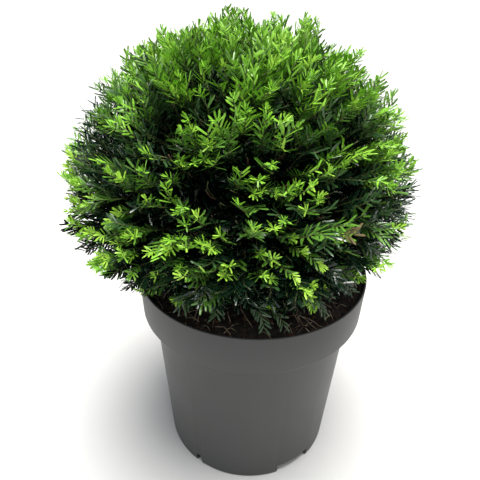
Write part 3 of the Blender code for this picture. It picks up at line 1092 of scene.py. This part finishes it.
def makeTwigs(stems, limbs, twigs, outer, inner):
    woody = (
        ([curve(a, a.lerp(b, 0.33), a.lerp(b, 0.66), b, 5) for a, b in stems],
         crown["stemRadii"], 8),
        (limbs, growth["limbRadii"], 6),
        ([twig["path"] for twig in twigs], growth["twigRadii"], 5),
    )
    allPoints, allFaces, total = [], [], 0
    for paths, radii, sides in woody:
        points, faces = taperedTubes(paths, *radii, sides)
        allPoints.append(points)
        allFaces.append(faces + total)
        total += len(points)
    mesh = meshOfTriangles("twigs", np.concatenate(allPoints), np.concatenate(allFaces))
    mesh.shade_smooth()
    addPiece("twigs", mesh, barkShader(), massNames)
    green = Shader("green shoot bark", (0.08, 0.14, 0.03), 0.6)
    pattern = green.noise(120, 3)
    green.set(Base_Color=green.ramp(pattern, *growth["greenTones"]))
    # the shoots inside the crown are bent in fewer places than those on its surface
    for label, shoots, bends in (
        ("outer_shoots", outer, range(growth["steps"])),
        ("inner_shoots", inner, range(0, growth["steps"], 2)),
    ):
        paths = [[shoot["path"][k] for k in bends] for shoot in shoots]
        mesh = meshOfTriangles(label, *taperedTubes(paths, *growth["shootRadii"], 3))
        mesh.shade_smooth()
        addPiece(label, mesh, green, massNames)
    print("twigs and shoots:", len(limbs), len(twigs), len(outer), len(inner))


# needles: a point, two rows of three across a raised midrib, and the tip

needle = {
    "length": 0.0172,
    "halfWidth": 0.00136,
    "rows": (0.12, 0.82),
    "rowWidths": (0.85, 0.88),
    "midrib": 0.22,  # how high the middle stands, as a share of the half width
    "spacing": 0.0027,
    "bareShare": 0.08,
    "gap": 0.0005,  # between the shoot's middle line and a needle's foot
    "leanSpreadDeg": 7,
    "turnSpread": 0.2,
    "lengthShares": (0.88, 1.08),
    "widthShares": (0.88, 1.1),
    "bendShares": (0.3, 1.6),
    "mostInPiece": 24000,
}
needleTriangles = np.array([
    (0, 3, 2), (0, 2, 1), (1, 2, 5), (1, 5, 4), (2, 3, 6), (2, 6, 5), (4, 5, 7), (5, 6, 7),
])
tones = {
    # name: two close colours, roughness, share of the usual shine
    # deep is near-black, painted shade for the crown's inside and its hollows
    "deep": ((0.0005, 0.0018, 0.0013), (0.0009, 0.0038, 0.0024), 0.55, 0.08),
    "shade": ((0.0036, 0.0175, 0.0074), (0.0070, 0.0290, 0.0115), 0.27, 1.9),
    "mid": ((0.0270, 0.0760, 0.0220), (0.0430, 0.1100, 0.0300), 0.30, 1.8),
    "fresh": ((0.0800, 0.2150, 0.0240), (0.1150, 0.2700, 0.0300), 0.34, 1.4),
    "bright": ((0.1900, 0.4500, 0.0340), (0.2700, 0.5500, 0.0460), 0.36, 1.1),
    "lime": ((0.2500, 0.4900, 0.0420), (0.3600, 0.6100, 0.0650), 0.40, 0.8),
    "olive": ((0.1000, 0.0880, 0.0300), (0.1500, 0.1180, 0.0520), 0.60, 0.6),
}
toneNames = list(tones)


def unit(vectors):
    return vectors / np.maximum(np.linalg.norm(vectors, axis=-1, keepdims=True), 1e-9)


# needles on many shoots at once. Each shoot has a cubic curve, a face, a count and its habits
def needlesOn(shoots, rng):
    count = np.array([shoot["count"] for shoot in shoots])
    which = np.repeat(np.arange(len(shoots)), count)
    order = np.arange(len(which)) - np.repeat(np.cumsum(count) - count, count)

    def each(key):
        return np.array([shoot[key] for shoot in shoots], float)[which]

    control = np.array([[tuple(point) for point in shoot["curve"]] for shoot in shoots])[which]
    t = each("bare") + (1 - each("bare")) * (order + 0.5) / count[which]
    tt = t[:, None]
    a, b, c, d = (control[:, k] for k in range(4))
    place = (1 - tt) ** 3 * a + 3 * (1 - tt) ** 2 * tt * b + 3 * (1 - tt) * tt**2 * c + tt**3 * d
    run = unit((1 - tt) ** 2 * (b - a) + 2 * (1 - tt) * tt * (c - b) + tt**2 * (d - c))
    face = each("face")
    face = unit(face - run * np.sum(face * run, axis=1, keepdims=True))
    side = np.cross(run, face)
    lift = np.radians(rng.normal(each("lift"), each("spread")))[:, None]
    sign = np.where(order % 2, 1.0, -1.0)[:, None]
    around = side * sign * np.cos(lift) + face * np.sin(lift)
    lean = each("openBase") + (each("openTip") - each("openBase")) * t**1.4
    lean = np.radians(lean + rng.normal(0, needle["leanSpreadDeg"], len(t)))[:, None]
    way = run * np.cos(lean) + around * np.sin(lean)
    length = each("length") * (0.78 + 0.22 * np.sin(math.pi * np.clip(t, 0, 1) ** 0.7))
    length *= rng.uniform(*needle["lengthShares"], len(t))
    half = each("half") * rng.uniform(*needle["widthShares"], len(t))
    top = face + run * each("spread")[:, None] / 90
    top += rng.normal(0, needle["turnSpread"], place.shape)
    top = unit(top - way * np.sum(top * way, axis=1, keepdims=True))
    wide = np.cross(way, top)
    length, half = length[:, None], half[:, None]
    bend = each("bend")[:, None] * rng.uniform(*needle["bendShares"], (len(t), 1)) * length
    inward = run - way * np.sum(run * way, axis=1, keepdims=True)
    base = place + needle["gap"] * around
    rows = [base]
    for share, width in zip(needle["rows"], needle["rowWidths"]):
        middle = base + way * length * share - top * bend * share**2
        middle = middle + inward * length * each("hook")[:, None] * share**2
        edge = wide * half * width
        rows += [middle - edge, middle + top * half * needle["midrib"], middle + edge]
    rows.append(base + way * length - top * bend + inward * length * each("hook")[:, None])
    # darker bands towards a shoot's foot: partly real needle age, partly painted shade
    grown = (order + rng.uniform(-0.5, 0.5, len(t))) / count[which]
    bands = np.array([shoot["tones"] for shoot in shoots])[which]
    band = (grown > each("oldShare")).astype(int) + (grown > each("youngShare"))
    tone = bands[np.arange(len(t)), band]
    return np.stack(rows, axis=1), tone


def needleShader(name):
    first, second, roughness, shine = tones[name]
    paint = Shader(f"needles {name}", first, roughness)
    patches = paint.noise(55, 2)
    paint.set(
        Base_Color=paint.ramp(patches, (0.36, first), (0.64, second)),
        Specular_IOR_Level=0.5 * shine,
    )
    return paint


def controlOf(path):
    # the cubic's pulls, read back from a path that curve() made
    start, end = path[0], path[-1]
    third, twoThirds = along(path, 1 / 3)[0], along(path, 2 / 3)[0]
    pullA = (18 * third - 9 * twoThirds - 5 * start + 2 * end) / 6
    pullB = (18 * twoThirds - 9 * third - 5 * end + 2 * start) / 6
    return start, pullA, pullB, end


potGaps = {"inside": 0.001, "aboveRim": 0.0005, "outside": 0.002, "pastRim": 0.02}


def clearOfPot(points):
    # true where no corner is in the pot's wall, under its rim or in the compost
    reach = np.hypot(points[..., 0], points[..., 1])
    inside = reach < rimRadius - potSizes["wall"] - potGaps["inside"]
    floor = np.where(inside, compostTop + potGaps["inside"], potHeight + potGaps["aboveRim"])
    outside = reach > rimRadius + potGaps["outside"]
    floor = np.where(outside, potHeight - potGaps["pastRim"], floor)
    return np.all(points[..., 2] > floor, axis=1)


sprays = {
    "face": (0.95, 0.60, 0.22),  # how far a spray faces up and outwards, and the spread
    # painted light and shade: a spray's tone rises with height and on clumps that stand out, and
    # falls on the left side
    "light": {"base": 0.04, "high": 0.66, "clump": 0.6, "left": -0.28, "spread": 0.17},
    "leftShadeFrom": 0.2,
    "toneLimits": (-0.30, 0.15, 0.36, 0.50),
    "oliveShare": 0.004,
    "lengthShares": (0.85, 1.12),
    # needle bands along a spray: darker towards its foot, partly real needle age and partly
    # painted shade further into the crown
    "oldShare": (0.20, 0.40),
    "youngShare": (0.40, 0.65),
    "fewest": 6,
    "uprightFrom": 0.35,
    "uprightOver": 0.5,
    "liftDeg": (12, 12),  # of level shoots, and what upright ones have more
    "spreadDeg": (9, 21),
    "habit": {"openBase": 66, "openTip": 38, "bend": 0.10, "hook": 0.12},
}


def randomShift(spread, rng):
    return Vector([rng.gauss(0, spread) for _ in range(3)])


def shootHabit(shoot, rng):
    way, path = shoot["way"], shoot["path"]
    end = (path[-1] - path[-2]).normalized()
    reach = sum((b - a).length for a, b in zip(path, path[1:]))
    upright = clamped((end.z - sprays["uprightFrom"]) / sprays["uprightOver"])
    faceUp, faceOut, spread = sprays["face"]
    face = faceUp * upward + faceOut * way + randomShift(spread, rng)
    # painted light and shade: the tone is lighter towards the top, partly fresher growth and
    # partly painted light, lighter on clumps that stand out, and darker on the left side as
    # painted shade
    share = sprays["light"]
    light = share["base"] + share["high"] * way.z + share["clump"] * shoot["clump"]
    light += rng.gauss(0, share["spread"])
    light += share["left"] * max(0.0, -way.x - sprays["leftShadeFrom"])
    tone = sum(light > limit for limit in sprays["toneLimits"])
    if rng.random() < sprays["oliveShare"]:
        tone = toneNames.index("olive")
    count = round(reach * (1 - needle["bareShare"]) / needle["spacing"])
    lift, spread = (
        level + more * upright for level, more in (sprays["liftDeg"], sprays["spreadDeg"])
    )
    return {
        **sprays["habit"],
        "curve": controlOf(path),
        "face": tuple(face),
        "bare": needle["bareShare"],
        "count": max(sprays["fewest"], count),
        "lift": lift,
        "spread": spread,
        "length": needle["length"] * rng.uniform(*sprays["lengthShares"]),
        "half": needle["halfWidth"],
        "tones": (max(0, min(tone, 4) - 2), max(min(1, tone), min(tone, 4) - 1), tone),
        "oldShare": rng.uniform(*sprays["oldShare"]),
        "youngShare": rng.uniform(*sprays["youngShare"]),
    }


freshTips = {
    "share": 0.52,
    "patches": {"base": 0.62, "back": -0.35, "side": -0.42, "lowRight": -0.50, "clump": 0.8,
                "noise": 1.5, "noiseSize": 4.3},
    "lowRightBelow": 0.25,
    "low": (0.10, 0.70, 1.8),  # least share, share at the crown's middle, rise with height
    "lime": (0.75, -0.65),  # share of lime among the bright tips, and its fall with height
    "length": (0.004, 0.012),
    "needleLength": (0.0075, 0.0110),
    "needles": (9, 13),
    "ways": (0.6, 0.8, 0.3),  # a tuft points along its shoot, outwards and up
    "bendSpread": 0.2,
    "habit": {"bare": 0.0, "spread": 70, "openBase": 74, "openTip": 18, "bend": 0.0,
              "hook": 0.22, "half": 0.00100},
}


def tipHabit(shoot, habit, rng):
    # the season's new growth, a short pale tuft on the end of a shoot
    path = shoot["path"]
    ahead, out, up = freshTips["ways"]
    way = ahead * (path[-1] - path[-2]).normalized() + out * shoot["way"] + up * upward
    start = path[-1]
    reach = rng.uniform(*freshTips["length"])
    bend = randomShift(freshTips["bendSpread"], rng)
    end = start + reach * (way.normalized() + bend).normalized()
    limeShare, fall = freshTips["lime"]
    tone = "lime" if rng.random() < limeShare + fall * max(0.0, shoot["way"].z) else "bright"
    return {
        **habit,
        **freshTips["habit"],
        "curve": (start, start.lerp(end, 0.33), start.lerp(end, 0.67), end),
        "count": rng.randint(*freshTips["needles"]),
        "length": rng.uniform(*freshTips["needleLength"]),
        "tones": (toneNames.index(tone),) * 3,
    }


def tipChance(shoot):
    way, patches = shoot["way"], freshTips["patches"]
    patch = patches["base"] + patches["back"] * way.y + patches["side"] * abs(way.x)
    patch += patches["lowRight"] * way.x * (way.z < freshTips["lowRightBelow"])
    cloud = noise.noise(patches["noiseSize"] * way + Vector((5, 2, 8)))
    patch += patches["noise"] * cloud + patches["clump"] * shoot["clump"]
    least, middle, rise = freshTips["low"]
    return freshTips["share"] * patch * max(least, min(1.0, middle + rise * way.z))


# the shoots that aren't on the surface: tones by number, from the deepest
insideCrown = {
    # painted shade: inner needles are mostly the near-black deep tone, lighter only near the top
    # as painted light, and the hanging sprays take the dark shade tone
    "hanging": {"spread": 6, "lift": 4, "tones": (1, 1, 2)},
    "inner": {"spread": 30, "half": 0.0014, "length": 0.019, "tones": (0, 0, 1)},
    # painted shade: wide, long near-black needles in the crown's bare middle
    "core": {"spread": 90, "half": 0.0028, "length": 0.030, "tones": (0, 0, 0)},
    "countShares": {"hanging": 1.0, "inner": 0.75, "core": 0.40},
    "paler": 0.8,  # share of the inner shoots, outside the hollows, whose middle is paler
    "topFrom": 0.6,
    "topTones": (0, 1, 2),
}


def insideHabit(shoot, kind, rng):
    habit = {**shootHabit(shoot, rng), **insideCrown[kind]}
    if kind == "inner":
        if shoot["clump"] >= -1 and rng.random() < insideCrown["paler"]:
            habit["tones"] = (0, 1, 1)
        if shoot["way"].z > insideCrown["topFrom"]:
            habit["tones"] = insideCrown["topTones"]
    habit["count"] = round(insideCrown["countShares"][kind] * habit["count"])
    return habit


def makeNeedles(outer, inner, core, hangers):
    picker = random.Random(5)
    habits = []
    for shoot in outer:
        habit = shootHabit(shoot, picker)
        if picker.random() < tipChance(shoot):
            habits.append(tipHabit(shoot, habit, picker))
            habit = {**habit, "tones": (*habit["tones"][:2], max(3, habit["tones"][2]))}
        habits.append(habit)
    for kind, shoots in (("hanging", hangers), ("inner", inner), ("core", core)):
        habits += [insideHabit(shoot, kind, picker) for shoot in shoots]
    corners, tone = needlesOn(habits, np.random.default_rng(9))
    low, high = (np.array(corner) for corner in cadBox)
    inBox = np.all((corners > low) & (corners < high), axis=(1, 2))
    keep = clearOfPot(corners) & inBox
    corners, tone = corners[keep], tone[keep]
    for number, name in enumerate(toneNames):
        chosen = corners[tone == number]
        pieces = math.ceil(len(chosen) / needle["mostInPiece"])
        shader = needleShader(name)
        for k, part in enumerate(np.array_split(chosen, pieces)):
            offsets = (np.arange(len(part)) * part.shape[1])[:, None, None]
            faces = (needleTriangles[None] + offsets).reshape(-1, 3)
            label = f"needles_{name}_{k + 1}"
            mesh = meshOfTriangles(label, part.reshape(-1, 3), faces)
            addPiece(label, mesh, shader, massNames)
        print("needles", name, len(chosen))
    print("needles in all:", len(corners))


placeCamera()
lightStudio()
bpy.context.scene.view_settings.view_transform = "Standard"
makePot()
makeCompost()
makeCrumbs()
makeStrands()
massWays = spiralWays(len(massNames), crown["lowestMassDeg"])
makeStemAndBoughs(massWays)
stems, limbs, twigs = growTwigs(massWays)
outer = growShoots(twigs, layers["outer"]) + growSprigs()
inner = growShoots(twigs, layers["inner"])
core = growShoots(twigs, layers["core"])
hangers = growHanging()
makeTwigs(stems, limbs, twigs, outer + hangers, inner + core)
makeNeedles(outer, inner, core, hangers)
